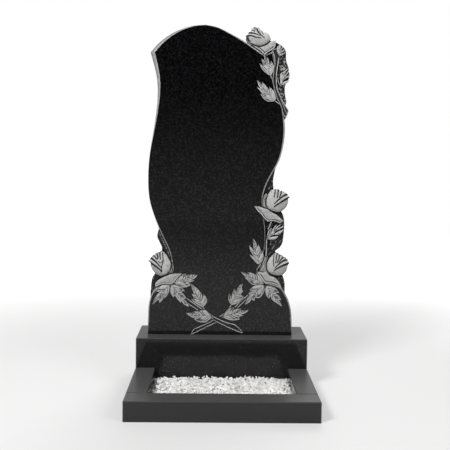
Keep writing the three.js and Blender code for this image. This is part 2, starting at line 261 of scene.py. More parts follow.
def body_outline():
    """The polished face from its foot, round by the right, over the arch and back."""
    peak, corner = np.array(ARCH_PEAK), np.array(LEFT_FLANK[0])
    half = math.asin((corner[0] - peak[0]) / ARCH_RADIUS)
    angles = half * np.arange(1, ARCH_STEPS) / ARCH_STEPS
    arch = np.stack([
        peak[0] + ARCH_RADIUS * np.sin(angles),
        peak[1] - ARCH_RADIUS * (1 - np.cos(angles))], 1)
    return np.concatenate([
        [(-300, 0), (300, 0)], through(RIGHT_SHOULDER, 8), [SHOULDER_NOTCH],
        through(RIGHT_FLANK, 8), through(RIGHT_ARCH, 8), arch,
        through(LEFT_FLANK, 10), through(LEFT_SHOULDER, 6)])


def cross(a, b):
    return a[..., 0] * b[..., 1] - a[..., 1] * b[..., 0]


def winding(loop):
    """1 for an outline that runs round to the left, -1 for one to the right."""
    return np.sign(cross(loop, np.roll(loop, -1, 0)).sum())


def bends(points):
    """The side that leaves each corner, the side that reaches it, and the turn in degrees."""
    ahead = np.roll(points, -1, 0) - points
    behind = np.roll(ahead, 1, 0)
    return ahead, behind, np.degrees(np.arctan2(cross(behind, ahead), (behind * ahead).sum(1)))


def soften(points, step=2.5, corner=52.0):
    """A closed outline with curved sides between its sharp corners."""
    points = np.array(points, float)
    ahead, behind, turn = bends(points)
    sharp = np.abs(turn) > corner
    through_point = ahead + behind
    through_point /= np.linalg.norm(through_point, axis=1)[:, None]
    out = []
    for i, start in enumerate(points):
        j = (i + 1) % len(points)
        end, reach = points[j], np.linalg.norm(ahead[i])
        chord = ahead[i] / reach
        leave = chord if sharp[i] else through_point[i]
        arrive = chord if sharp[j] else through_point[j]
        parts = max(1, round(reach / step))
        for t in np.arange(parts) / parts:
            a, b = 2 * t ** 3 - 3 * t * t + 1, t ** 3 - 2 * t * t + t
            c, d = 3 * t * t - 2 * t ** 3, t ** 3 - t * t
            out.append(a * start + b * reach * leave + c * end + d * reach * arrive)
    return np.array(out)


def nearest(points, line, closed):
    """Distance to a line, how far along it the nearest place is, and that place."""
    line = np.asarray(line, float)
    starts = line if closed else line[:-1]
    steps = (np.roll(line, -1, 0) if closed else line[1:]) - starts
    lengths = np.linalg.norm(steps, axis=1)
    best = np.full(len(points), FAR ** 2)
    which, share = np.zeros(len(points), int), np.zeros(len(points))
    for i, (start, step) in enumerate(zip(starts, steps)):
        t = np.clip((points - start) @ step / (step @ step), 0, 1)
        gap = points - start - t[:, None] * step
        gap = (gap * gap).sum(1)
        nearer = gap < best
        best[nearer], which[nearer], share[nearer] = gap[nearer], i, t[nearer]
    run = np.concatenate([[0], np.cumsum(lengths)])
    along = run[which] + share * lengths[which]
    return np.sqrt(best), along, starts[which] + share[:, None] * steps[which]


def within(points, loop):
    """Distance to a closed outline, positive inside it."""
    odd = np.zeros(len(points), bool)
    x, z = points[:, 0], points[:, 1]
    for (ax, az), (bx, bz) in zip(loop, np.roll(loop, -1, 0)):
        if az != bz:
            crosses = (az > z) != (bz > z)
            odd ^= crosses & (x < (bx - ax) * (z - az) / (bz - az) + ax)
    return np.where(odd, 1.0, -1.0) * nearest(points, loop, True)[0]


def in_box(points, loop, margin=0.0):
    """Which points lie in the upright box round an outline."""
    return ((points > loop.min(0) - margin) & (points < loop.max(0) + margin)).all(1)


def ease(value):
    value = np.clip(value, 0, 1)
    return value * value * (3 - 2 * value)


def rubble(points, size, seed):
    """Smooth uneven values from 0 to 1 over the face, the same on every run."""
    cell = points / size + seed * 17.3
    corner = np.floor(cell)
    share = ease(cell - corner)

    def at(dx, dz):
        wave = np.sin((corner[:, 0] + dx) * 12.9898 + (corner[:, 1] + dz) * 78.233) * 43758.5453
        return wave - np.floor(wave)

    low = at(0, 0) * (1 - share[:, 0]) + at(1, 0) * share[:, 0]
    high = at(0, 1) * (1 - share[:, 0]) + at(1, 1) * share[:, 0]
    return low * (1 - share[:, 1]) + high * share[:, 1]


# Lower ground behind the flowers, dressed back with a point chisel.
GROUNDS = [
    [(-292, 130), (-200, 200), (-190, 300), (-240, 450), (-258, 440), (-266, 408), (-257, 385),
     (-246, 355), (-268, 255), (-284, 235), (-291, 185)],
    [(150, 262), (190, 200), (240, 180), (270, 160), (268, 225), (240, 300), (228, 352),
     (248, 369), (259, 395), (260, 495), (222, 560), (216, 612), (214, 650), (226, 712),
     (190, 640), (160, 540), (165, 400)],
    [(235, 960), (250, 890), (262, 907), (271, 935), (259, 952), (263, 973), (258, 997),
     (257, 1040), (273, 1072), (271, 1105), (259, 1147), (255, 1186), (224, 1213), (188, 1222),
     (120, 1210), (160, 1150), (210, 1130), (205, 1050)]]

# Leaves: the first point is the stalk end, and the named tip is the far end.
# The outline runs out along one side and back along the other.
SUNK_LEAVES = [
    ((-97, 250), [
        (-192, 218), (-180, 234), (-165, 249), (-144, 254), (-152, 241), (-132, 250), (-97, 250),
        (-111, 235), (-133, 228), (-109, 227), (-131, 220), (-146, 217), (-119, 214), (-131, 205),
        (-149, 199), (-165, 201), (-180, 209)]),
    ((-280, 126), [
        (-213, 208), (-229, 208), (-244, 203), (-254, 195), (-267, 181), (-252, 178), (-268, 158),
        (-274, 143), (-280, 126), (-257, 149), (-252, 134), (-240, 148), (-234, 166), (-231, 153),
        (-216, 175), (-213, 191)]),
    ((-132, 118), [
        (-204, 208), (-189, 208), (-174, 202), (-161, 195), (-151, 184), (-166, 181), (-152, 167),
        (-144, 153), (-155, 150), (-139, 133), (-132, 118), (-150, 128), (-161, 141), (-166, 152),
        (-164, 134), (-179, 151), (-189, 167), (-195, 158), (-205, 172), (-208, 191)]),
    ((-122, 211), [
        (-73, 116), (-60, 131), (-57, 147), (-61, 157), (-69, 169), (-74, 152), (-78, 144),
        (-77, 165), (-86, 180), (-100, 195), (-122, 211), (-117, 192), (-111, 178), (-109, 169),
        (-119, 171), (-112, 160), (-104, 150), (-119, 147), (-106, 135), (-90, 125)]),
    ((-141, 90), [
        (-37, 74), (-48, 88), (-59, 101), (-73, 102), (-86, 101), (-82, 92), (-96, 98),
        (-109, 96), (-98, 87), (-114, 91), (-141, 90), (-126, 79), (-114, 73), (-97, 76),
        (-108, 67), (-95, 58), (-77, 53), (-59, 55), (-45, 65)]),
    ((86, 264), [
        (178, 218), (171, 233), (162, 247), (148, 263), (152, 247), (139, 257), (114, 264),
        (125, 251), (103, 259), (86, 264), (101, 249), (117, 243), (102, 242), (116, 229),
        (128, 217), (138, 213), (157, 213)]),
    ((104, 129), [
        (178, 211), (163, 212), (145, 208), (132, 200), (123, 191), (130, 184), (118, 176),
        (124, 168), (113, 154), (110, 140), (104, 129), (123, 142), (129, 154), (141, 146),
        (144, 159), (161, 158), (172, 168), (180, 180), (183, 194)]),
    ((256, 124), [
        (189, 207), (204, 207), (222, 202), (233, 193), (244, 180), (224, 180), (243, 166),
        (252, 151), (240, 148), (249, 139), (256, 124), (240, 135), (230, 141), (217, 151),
        (208, 170), (203, 156), (193, 168), (188, 186)]),
    ((91, 215), [
        (47, 128), (37, 143), (34, 157), (37, 173), (47, 154), (51, 175), (58, 192), (66, 180),
        (78, 205), (91, 215), (88, 196), (93, 184), (81, 170), (97, 161), (85, 144), (70, 134),
        (57, 129)]),
    ((117, 104), [
        (13, 76), (24, 97), (36, 109), (56, 115), (54, 104), (68, 109), (86, 110), (82, 101),
        (97, 103), (117, 104), (103, 93), (84, 87), (96, 82), (78, 79), (80, 66), (66, 64),
        (51, 62), (34, 66), (22, 70)]),
    ((133, 404), [
        (161, 299), (149, 304), (135, 319), (119, 338), (140, 328), (125, 352), (117, 376),
        (128, 364), (140, 349), (135, 376), (133, 404), (144, 388), (148, 370), (146, 348),
        (151, 370), (155, 379), (163, 359), (164, 334), (170, 356), (177, 335), (176, 319),
        (171, 308)]),
    ((179, 1152), [
        (191, 1080), (172, 1091), (158, 1107), (149, 1126), (168, 1110), (162, 1127), (156, 1147),
        (166, 1136), (173, 1126), (176, 1141), (179, 1152), (185, 1136), (188, 1116), (192, 1126),
        (196, 1135), (206, 1116), (207, 1105), (201, 1092), (195, 1080)]),
    ((139, 1058), [
        (212, 976), (198, 973), (180, 975), (166, 986), (154, 1003), (173, 995), (157, 1010),
        (139, 1031), (158, 1019), (146, 1038), (139, 1058), (150, 1047), (157, 1034), (161, 1049),
        (176, 1033), (192, 1012), (190, 1030), (206, 1016), (213, 999), (216, 985)])]

# Leaves that stand up from the lower ground.
RAISED_LEAVES = [
    ((262, 452), [
        (195, 400), (209, 399), (226, 401), (234, 408), (240, 416), (229, 414), (215, 412),
        (204, 410), (209, 416), (224, 420), (242, 421), (253, 431), (262, 444), (250, 440),
        (235, 432), (222, 425), (227, 435), (242, 443), (254, 449), (268, 462), (256, 458),
        (243, 451), (232, 445), (236, 452), (245, 459), (254, 466), (241, 461), (230, 454),
        (224, 448), (228, 455), (233, 465), (225, 458), (218, 448), (209, 438), (208, 442),
        (212, 451), (204, 446), (196, 434), (192, 420), (191, 405)]),
    ((242, 1192), [
        (232, 1158), (241, 1163), (249, 1169), (256, 1176), (247, 1173), (239, 1170), (234, 1168),
        (240, 1175), (248, 1181), (255, 1189), (246, 1186), (240, 1183), (235, 1181), (241, 1189),
        (248, 1198), (240, 1194), (234, 1190), (237, 1198), (234, 1208), (227, 1202), (222, 1199),
        (218, 1189), (220, 1178), (224, 1168), (228, 1160)]),
    ((262, 1098), [
        (240, 1040), (250, 1042), (261, 1048), (272, 1056), (270, 1063), (258, 1058), (246, 1052),
        (248, 1060), (258, 1067), (272, 1075), (270, 1080), (263, 1079), (256, 1077), (263, 1086),
        (272, 1097), (269, 1101), (261, 1092), (252, 1085), (258, 1095), (269, 1112), (262, 1108),
        (252, 1098), (242, 1093), (236, 1088), (234, 1077), (235, 1062), (236, 1048)])]

# Sepals, smooth with a rim painted light as a highlight, as (strength of the crease, width of the
# trench of painted shade round it, outline). The last one is the cup under the top rose.
SEPALS = [
    (0.3, 6.0, [(-271, 201), (-270, 212), (-255, 227), (-236, 238), (-214, 247), (-193, 254),
      (-163, 255), (-180, 237), (-198, 217), (-210, 211), (-232, 211), (-253, 207),
      (-264, 200)]),
    (1.0, 1.5, [(155, 264), (174, 263), (191, 262), (203, 249), (221, 243), (236, 231),
      (248, 214), (255, 197), (242, 207), (221, 216), (201, 220), (186, 221), (171, 240)]),
    (1.0, 4.8, [(137, 539), (157, 538), (176, 531), (198, 524), (211, 513), (227, 505),
      (242, 493), (258, 479), (243, 471), (228, 477), (210, 479), (193, 476), (181, 487),
      (166, 506), (151, 521)]),
    (1.0, 4.8, [(105, 1211), (119, 1200), (136, 1189), (154, 1177), (168, 1162), (182, 1174),
      (208, 1193), (214, 1222), (202, 1220), (187, 1213), (176, 1204), (159, 1199),
      (136, 1201)])]

# Small upright calyx pieces between the polished body and the roses.
CALYXES = [
    [(-224, 252), (-212, 265), (-202, 290), (-204, 300), (-199, 292), (-197, 274), (-203, 254)],
    [(167, 537), (167, 558), (172, 575), (184, 592), (193, 588), (188, 566), (189, 547),
     (200, 526), (186, 529)],
    [(160, 264), (166, 285), (176, 315), (186, 338), (196, 330), (191, 303), (192, 279),
     (203, 252), (180, 262)]]

# Roses: outline, the place where the petals meet, the grooves between the petals as (width at the
# heart, width at the rim, line), darkened with painted shade, and the light bands, a painted
# highlight along raised petal rims, as (width, line).
ROSES = [
    ([(-303, 305), (-297, 310), (-292, 320), (-286, 321), (-279, 329), (-274, 331), (-268, 334),
      (-263, 335), (-256, 339), (-251, 341), (-243, 345), (-234, 339), (-225, 329), (-218, 316),
      (-210, 305), (-206, 293), (-208, 279), (-212, 266), (-222, 254), (-233, 246), (-246, 241),
      (-258, 244), (-271, 252), (-281, 264), (-288, 276), (-292, 287), (-292, 295), (-296, 300)],
     (-244, 260),
     [(2.3, 3.6, [(-245, 262), (-250, 269), (-261, 277), (-281, 291), (-303, 304)]),
      (1.6, 3.2, [(-246, 278), (-254, 285), (-265, 298), (-275, 307), (-292, 321)]),
      (1.5, 2.2, [(-264, 313), (-270, 320), (-279, 329)]),
      (1.5, 2.2, [(-264, 313), (-261, 321), (-265, 334)]),
      (1.5, 2.4, [(-250, 314), (-252, 326), (-254, 340)]),
      (1.3, 1.5, [(-244, 264), (-245, 286), (-242, 294), (-239, 306), (-240, 321), (-242, 340)]),
      (1.1, 1.1, [(-259, 305), (-253, 299), (-245, 301), (-240, 309)])],
     [(4.6, [(-246, 270), (-261, 287), (-276, 299), (-299, 313)])]),
    ([(284, 578), (275, 584), (274, 590), (264, 597), (254, 603), (244, 604), (234, 611),
      (221, 609), (210, 608), (205, 606), (198, 594), (191, 581), (187, 568), (186, 552),
      (188, 541), (194, 531), (207, 521), (223, 516), (237, 514), (246, 517), (255, 523),
      (266, 534), (273, 546), (276, 561), (276, 571)],
     (219, 540),
     [(2.0, 3.6, [(219, 538), (231, 547), (247, 557), (262, 567), (284, 578)]),
      (1.6, 3.2, [(220, 550), (229, 560), (240, 570), (251, 579), (262, 586), (274, 591)]),
      (1.5, 2.4, [(240, 578), (244, 586), (248, 604)]),
      (1.5, 2.4, [(231, 574), (233, 589), (235, 610)]),
      (1.4, 2.0, [(219, 578), (220, 591), (222, 608)])],
     [(4.4, [(222, 545), (240, 561), (257, 573), (278, 583)])]),
    ([(288, 304), (281, 309), (280, 318), (270, 321), (261, 329), (253, 330), (245, 338),
      (237, 338), (230, 344), (223, 341), (213, 331), (202, 318), (195, 303), (193, 289),
      (197, 271), (207, 258), (222, 251), (238, 248), (256, 251), (269, 262), (277, 277),
      (280, 293)],
     (223, 272),
     [(2.0, 3.6, [(223, 272), (240, 283), (258, 292), (275, 299), (288, 304)]),
      (1.6, 3.2, [(227, 283), (243, 299), (259, 311), (280, 319)]),
      (1.5, 2.4, [(243, 307), (251, 317), (262, 329)]),
      (1.5, 2.4, [(236, 305), (242, 322), (245, 338)]),
      (1.4, 2.0, [(229, 303), (231, 322), (234, 342)]),
      (1.3, 1.5, [(222, 290), (219, 315), (222, 338)])],
     [(4.4, [(226, 277), (244, 291), (262, 301), (282, 311)])]),
    ([(90, 1236), (93, 1241), (98, 1243), (100, 1249), (104, 1254), (109, 1256), (112, 1263),
      (114, 1269), (121, 1272), (127, 1278), (131, 1276), (134, 1271), (142, 1275), (148, 1268),
      (157, 1260), (163, 1253), (171, 1255), (181, 1251), (189, 1240), (193, 1229), (189, 1219),
      (177, 1208), (163, 1201), (146, 1197), (132, 1200), (118, 1206), (107, 1210), (98, 1219),
      (95, 1227)],
     (166, 1228),
     [(1.4, 2.6, [(153, 1230), (143, 1232), (131, 1233), (120, 1237), (107, 1239), (92, 1236)]),
      (1.4, 2.8, [(149, 1241), (142, 1241), (134, 1246), (125, 1248), (113, 1250), (101, 1250)]),
      (1.3, 2.8, [(167, 1230), (158, 1238), (149, 1246), (139, 1258), (134, 1271)]),
      (1.2, 1.4, [(111, 1261), (120, 1260), (125, 1257), (128, 1262), (124, 1272)]),
      (1.1, 1.3, [(153, 1262), (157, 1256), (163, 1246)]),
      (1.0, 3.4, [(112, 1216), (104, 1219), (98, 1228)])],
     [(3.2, [(150, 1236), (130, 1240), (98, 1244)])])]

# Stems on the polished face are pairs of cut lines with polish between them.
LINE_WIDTH = 3.4
LINES = [
    [(-39, 83), (-7, 66), (30, 51), (64, 42), (94, 13)],
    [(-36, 73), (-18, 58), (12, 43), (42, 29), (88, 11), (94, 13)],
    [(15, 89), (8, 83), (-2, 77)],
    [(-26, 62), (-64, 42), (-106, 23), (-120, 4)],
    [(19, 84), (8, 73)],
    [(-16, 52), (-42, 40), (-70, 26), (-113, 4), (-120, 4)],
    [(-141, 153), (-109, 130), (-73, 106)],
    [(-136, 132), (-115, 118), (-91, 103)],
    [(-73, 116), (-59, 101), (-37, 82)],
    [(117, 170), (88, 145), (60, 115)],
    [(113, 155), (91, 133), (71, 113)],
    [(47, 128), (36, 110), (27, 99)],
    [(212, 976), (228, 965), (241, 954)],
    [(192, 1080), (200, 1065), (206, 1048)],
    [(167, 300), (158, 286), (150, 274)],
    [(167, 1163), (169, 1150), (172, 1128)]]

# The thick stem of the upper rose with the line up its fork, and the thin
# stems beside it and below the middle rose, as (width, line).
TOP_STEM = [
    (198, 1181), (202, 1172), (207, 1160), (210, 1140), (210, 1120), (207, 1099), (205, 1078),
    (203, 1057), (206, 1043), (210, 1026), (214, 1013), (218, 1001), (223, 985), (232, 968),
    (237, 958), (242, 945), (247, 927), (253, 914), (263, 907), (268, 922), (271, 936), (260, 954),
    (252, 966), (243, 983), (234, 1000), (229, 1011), (224, 1023), (222, 1037), (220, 1060),
    (220, 1090), (223, 1112), (227, 1135), (228, 1155), (224, 1166), (220, 1178), (217, 1191)]
TOP_STEM_MIDDLE = [(237, 983), (246, 965), (254, 944), (264, 924)]
SIDE_STEMS = [
    (3.4, [(192, 424), (189, 385), (190, 350), (187, 330)]),
    (2.6, [(210, 479), (203, 462), (195, 440)]),
    (2.0, [(240, 1034), (231, 1046), (226, 1060), (224, 1072)]),
    (2.0, [(232, 1153), (226, 1166), (222, 1184), (221, 1198)])]


def ring_at(loop, reach):
    """The outline moved outwards, with its sharp corners kept short."""
    ahead = np.roll(loop, -1, 0) - loop
    ahead /= np.maximum(np.linalg.norm(ahead, axis=1), 1e-6)[:, None]
    normal = np.stack([ahead[:, 1], -ahead[:, 0]], 1)
    joined = normal + np.roll(normal, 1, 0)
    joined /= np.maximum((joined ** 2).sum(1), 0.9)[:, None] / 2
    return loop + joined * reach * winding(loop)


def ribbon(line, width):
    """A closed strip along a line, with pointed ends."""
    line = through(line, 4)
    step = np.gradient(line, axis=0)
    step /= np.linalg.norm(step, axis=1)[:, None]
    side = np.stack([-step[:, 1], step[:, 0]], 1) * width / 2
    side[0] *= 0.3
    side[-1] *= 0.3
    return np.concatenate([line + side, (line - side)[::-1]])


# Width of the light bevel by height, on the left flank and on the right one.
# At the upper left corner it is widest and runs out along both sides.
LEFT_BEVEL = [(0, 4.6), (215, 4.6), (250, 3.4), (450, 3.4), (500, 1.4), (760, 1.4), (820, 3.0),
              (1280, 3.0)]
RIGHT_BEVEL = [(0, 6.0), (215, 6.0), (240, 3.2), (540, 3.2), (600, 5.2), (760, 5.6), (860, 7.0),
               (1000, 6.0), (1230, 5.2), (1270, 2.0)]
CORNER_BEVEL = 18
FOOT_BEVEL = 0.6


def bevel_width(points):
    corner = np.array(LEFT_FLANK[0])
    away = np.linalg.norm(points - corner, axis=1)
    fade = np.where(points[:, 1] > corner[1], 1 - away / 250, 1 - away / 400)
    left = points[:, 0] < ARCH_PEAK[0]
    by_height = [np.interp(points[:, 1], *zip(*run)) for run in (LEFT_BEVEL, RIGHT_BEVEL)]
    wide = np.where(left, np.maximum(by_height[0], CORNER_BEVEL * fade), by_height[1])
    return np.where(points[:, 1] < 1, FOOT_BEVEL, wide)


MIDRIB = 1.5
SIDE_VEIN = 1.1
LOBE_TURN = 60
NOTCH_TURN = -40
SLIT_LENGTH = 15


def leaf_lines(tip, outline):
    """The midrib, a side vein to each lobe, and the slit that runs in from each notch."""
    points = np.array(outline, float)
    base, tip = points[0], np.array(tip, float)
    length = np.linalg.norm(tip - base)
    along = (tip - base) / length
    middle = points.mean(0) * 0.3 + (base + tip) * 0.35
    veins = [(MIDRIB, np.array([base, middle, base + (tip - base) * 0.93]))]
    slits = []
    for place, turn in zip(points, bends(points)[2] * winding(points)):
        reach = (place - base) @ along
        across = np.linalg.norm(place - base - along * reach)
        foot = base + along * min(max(reach - 1.15 * across, 0.06 * length), 0.8 * length)
        away_from_ends = np.linalg.norm(place - base) > 12 and np.linalg.norm(place - tip) > 6
        if turn > LOBE_TURN and away_from_ends:
            veins.append((SIDE_VEIN, np.array([foot, foot + (place - foot) * 0.86])))
        if turn < NOTCH_TURN:
            inward = foot - place
            deepest = min(0.52, SLIT_LENGTH / max(np.linalg.norm(inward), 1))
            slits.append(np.array([place - inward * 0.06, place + inward * deepest]))
    return veins, slits


def stroke_lay(points, width, length):
    """The lay of chisel strokes that run upright."""
    return np.stack([points[:, 0] / width, points[:, 1] / length], 1)


def hump(gap, width, power=2):
    """1 on a line, falling to almost 0 at twice its width."""
    return np.exp(-(gap / width) ** power)


class Relief:
    """The carved face: depth below the polish, lightness with its painted light and shade, and
    chisel lay of each point.
    """

    def __init__(self, points):
        self.points = points
        count = len(points)
        self.depth = np.full(count, GROUND)
        self.frost = np.zeros(count)
        self.lay = np.zeros((count, 2))

    def stand(self, loop, shape, shaded_trench):
        """Lays a form over the face, in a trench darkened with painted shade: shape gives depth,
        lightness and lay.
        """
        rows = np.nonzero(in_box(self.points, loop, shaded_trench))[0]
        inner = within(self.points[rows], loop)
        around = (inner < -0.01) & (inner > -shaded_trench) & (self.depth[rows] > 0.1)
        shade = 1 + inner[around] / shaded_trench
        # Painted shade: the neighbours go nearly black in a band round the form, beside a cut up
        # to 2 mm deeper.
        self.frost[rows[around]] *= 1 - 0.98 * ease(2.2 * shade)
        self.depth[rows[around]] += 2.0 * shade
        rows, inner = rows[inner > -WALL], inner[inner > -WALL]
        depth, frost, lay = shape(self.points[rows], np.maximum(inner, 0))
        share = np.clip(-inner / (0.6 * WALL), 0, 1)
        self.depth[rows] = depth * (1 - share) + self.depth[rows] * share
        self.depth[self.depth < 0.1] = 0
        inside = inner > -0.01
        self.frost[rows[inside]] = frost[inside]
        self.lay[rows[inside]] = lay[inside]


def body_form(outline):
    """The polished face with its light bevel."""
    polish = ring_at(outline, -bevel_width(outline)[:, None])

    def shape(points, inner):
        gap = np.maximum(0, -within(points, polish))
        depth = bevel_width(points) * gap / np.maximum(gap + inner, 0.01)
        rough = rubble(points, 6, 8)
        depth *= np.where(points[:, 0] > 150, 0.8 + 0.4 * rough, 1)
        wide = ease(bevel_width(points) / 6 - 1)
        right_flank = ease((points[:, 1] - 540) / 60) * (points[:, 0] > 100)
        pale = 0.40 + 0.22 * right_flank - 0.26 * wide
        frost = pale + 0.28 * rough + 0.42 * wide * hump(gap, 3)
        frost *= np.clip(bevel_width(points) / 3, 0.3, 1)
        return depth, frost, np.stack([nearest(points, outline, True)[1] / 5, inner], 1)
    return shape


def leaf_form(tip, outline, edge, crest):
    """A leaf, arched from its edge to its crest, with veins, slits and streaks; a painted
    highlight runs along its edge and the borders of its slits, and painted shade darkens its vein
    and slit grooves.
    """
    veins, slits = leaf_lines(tip, outline)
    base = np.array(outline[0], float)
    along = np.array(tip, float) - base
    along /= np.linalg.norm(along)
    across = np.array([-along[1], along[0]])

    def shape(points, inner):
        rise = ease(np.minimum(1, inner / 9 + 0.12))
        depth = edge + (crest - edge) * rise
        u, v = (points - base) @ along, (points - base) @ across
        side, v = v > 0, np.abs(v)
        streak = rubble(np.stack([(u - v) / 4.6 + 7.4 * side, v / 20], 1), 1, 6)
        frost = 0.80 - 0.72 * ease((streak - 0.50) * 5) * ease((inner - 0.6) / 2)
        # Painted highlight along the leaf's edge.
        frost += 0.34 * hump(inner, 2.6)
        to_vein = np.full(len(points), FAR)
        for width, line in veins:
            gap = nearest(points, line, False)[0]
            depth += 0.75 * width * hump(gap, width)
            # Painted shade in each vein groove.
            frost *= 1 - 0.42 * hump(gap, width * 0.85)
            to_vein = np.minimum(to_vein, gap)
        depth -= 0.7 * ease(to_vein / 5)
        for line in slits:
            gap, run, _ = nearest(points, line, False)
            width = 1.9 - 1.3 * run / np.linalg.norm(line[1] - line[0])
            cut = hump(gap, width, 4)
            depth += 2.6 * cut
            # Painted highlight along both borders of the slit, and painted shade down the slit
            # itself.
            frost += 0.34 * hump(gap - width - 1.6, 1.5)
            frost *= 1 - 0.98 * cut
        return depth, np.clip(frost, 0, 1), np.stack([(u - v) / 2.3, v / 10], 1)
    return shape


def sepal_form(outline, crease):
    """A smooth sepal with a painted highlight along its rim, and a crease inside its upper edge
    that is cut in and darkened with painted shade.
    """
    ends = outline[[0, len(outline) // 2]]
    along = ends[1] - ends[0]
    along /= np.linalg.norm(along)
    across = np.array([-along[1], along[0]])

    def shape(points, inner):
        away, _, place = nearest(points, outline, True)
        below = (points - place)[:, 1] / np.maximum(away, 0.01)
        # The crease: cut deeper, and darkened with painted shade.
        rim = crease * hump(inner - 5.6, 1.8, 4) * ease(below * 3 - 0.8)
        depth = 2.6 - 2.0 * ease(inner / 9) + 1.8 * rim
        # Painted highlight along the edge, painted shade in the crease.
        frost = (0.70 + 0.30 * hump(inner, 2.8)) * (1 - 0.97 * rim)
        lay = np.stack([(points @ across) / 2.4, (points @ along) / 14], 1)
        return depth, np.clip(frost, 0, 1), lay
    return shape


def calyx_form(points, inner):
    """A narrow folded piece of the cup under a rose, darkened with painted shade where each fold
    runs deeper.
    """
    fold = 0.5 + 0.5 * np.cos(inner * 2 * math.pi / 5.2)
    depth = 9 - 5.5 * ease(inner / 6) + 1.4 * (1 - fold)
    return depth, 0.18 + 0.66 * fold, stroke_lay(points, 2.0, 12)


def rose_form(outline, heart, grooves, bands):
    """A rose in bud: a rounded body, grooves that open from its heart and are darkened with
    painted shade, light petal rims that are a painted highlight, and a lower petal in painted
    shade.
    """
    heart = np.array(heart, float)
    centre = outline.mean(0)
    opening = (centre - heart) / np.linalg.norm(centre - heart)
    tip = np.array(grooves[0][2][-1])
    front = np.array([tip[1] - heart[1], heart[0] - tip[0]])
    front *= -np.sign(front @ (centre - heart)) / np.linalg.norm(front)

    def shape(points, inner):
        facing = (points - centre) @ opening / 46
        rim = 12 - 8 * ease(facing * 0.9 + 0.15)
        round_off = np.sqrt(np.clip(1 - (1 - np.clip(inner / 22, 0, 1)) ** 2, 0, 1))
        depth = rim + (1.6 - rim) * round_off
        frost = 0.86 + 0.14 * rubble(points, 9, 3)
        # Painted shade over the lower petal, darkest along its outline.
        low_petal_shade = ease(((points - heart) @ front + 1) / 4)
        frost *= 1 - low_petal_shade * (0.26 + 0.74 * hump(inner, 2.2))
        for width, line in bands:
            ridge = hump(nearest(points, through(line, 4), False)[0], width)
            # Painted highlight along each raised petal rim.
            frost += 0.25 * ridge
            depth -= 0.8 * ridge
        for start, end, line in grooves:
            gap, run, _ = nearest(points, through(line, 4), False)
            width = start + (end - start) * run / run.max()
            depth += 1.7 * width * hump(gap, width)
            # Painted shade down each groove.
            frost *= 1 - 0.99 * hump(gap, 1.5 * width, 6)
        ray = points - heart
        angle = np.arctan2(ray[:, 1], ray[:, 0])
        lay = np.stack([angle * 12, np.linalg.norm(ray, axis=1) / 14], 1)
        return np.maximum(depth, 0.4), np.clip(frost, 0, 1), lay
    return shape


def stem_form(width):
    """A thin round stem, painted lighter along its crest and darker down its sides, as light and
    shade on the round.
    """
    def shape(points, inner):
        rise = ease(inner / (width * 0.45))
        return 9 - 6 * rise, 0.35 + 0.45 * rise, stroke_lay(points, 1.6, 10)
    return shape


def top_stem_form(points, inner):
    """The thick stem of the upper rose: light edges, and a light line up its fork."""
    core = hump(nearest(points, through(TOP_STEM_MIDDLE, 4), False)[0], 1.2, 4)
    light = np.maximum(hump(inner - 0.8, 2.3, 4), core)
    return 8.5 - 4.5 * light, np.clip(0.01 + 0.85 * light, 0, 1), stroke_lay(points, 1.6, 10)


def line_form(points, inner):
    """A shallow cut line on the polish."""
    depth = 1.9 * ease(inner / (LINE_WIDTH / 2) + 0.1)
    return depth, np.full(len(points), 0.85), stroke_lay(points, 3, 3)


def carve():
    """Every form of the face as (outline, shape, grows the silhouette, width of its trench of
    painted shade), lowest first.
    """
    forms = []
    body = body_outline()
    forms.append((body, body_form(body), True, SHADED_TRENCH))
    for outline in CALYXES:
        loop = soften(outline)
        forms.append((loop, calyx_form, True, SHADED_TRENCH))
    for line in LINES:
        forms.append((ribbon(line, LINE_WIDTH), line_form, False, SHADED_TRENCH))
    loop = soften(TOP_STEM)
    forms.append((loop, top_stem_form, True, SHADED_TRENCH))
    for width, line in SIDE_STEMS:
        forms.append((ribbon(line, width * 1.8), stem_form(width), True, SHADED_TRENCH))
    for tip, outline in SUNK_LEAVES:
        forms.append((soften(outline), leaf_form(tip, outline, 4.2, 0.9), False, SHADED_TRENCH))
    for tip, outline in RAISED_LEAVES:
        loop = ring_at(soften(outline), -0.7)
        forms.append((loop, leaf_form(tip, outline, 9.0, 3.6), True, SHADED_TRENCH))
    for crease, shaded_trench, outline in SEPALS:
        loop = soften(outline)
        forms.append((loop, sepal_form(loop, crease), True, shaded_trench))
    for outline, heart, grooves, bands in ROSES:
        loop = soften(outline)
        forms.append((loop, rose_form(loop, heart, grooves, bands), True, ROSE_SHADED_TRENCH))
    return forms


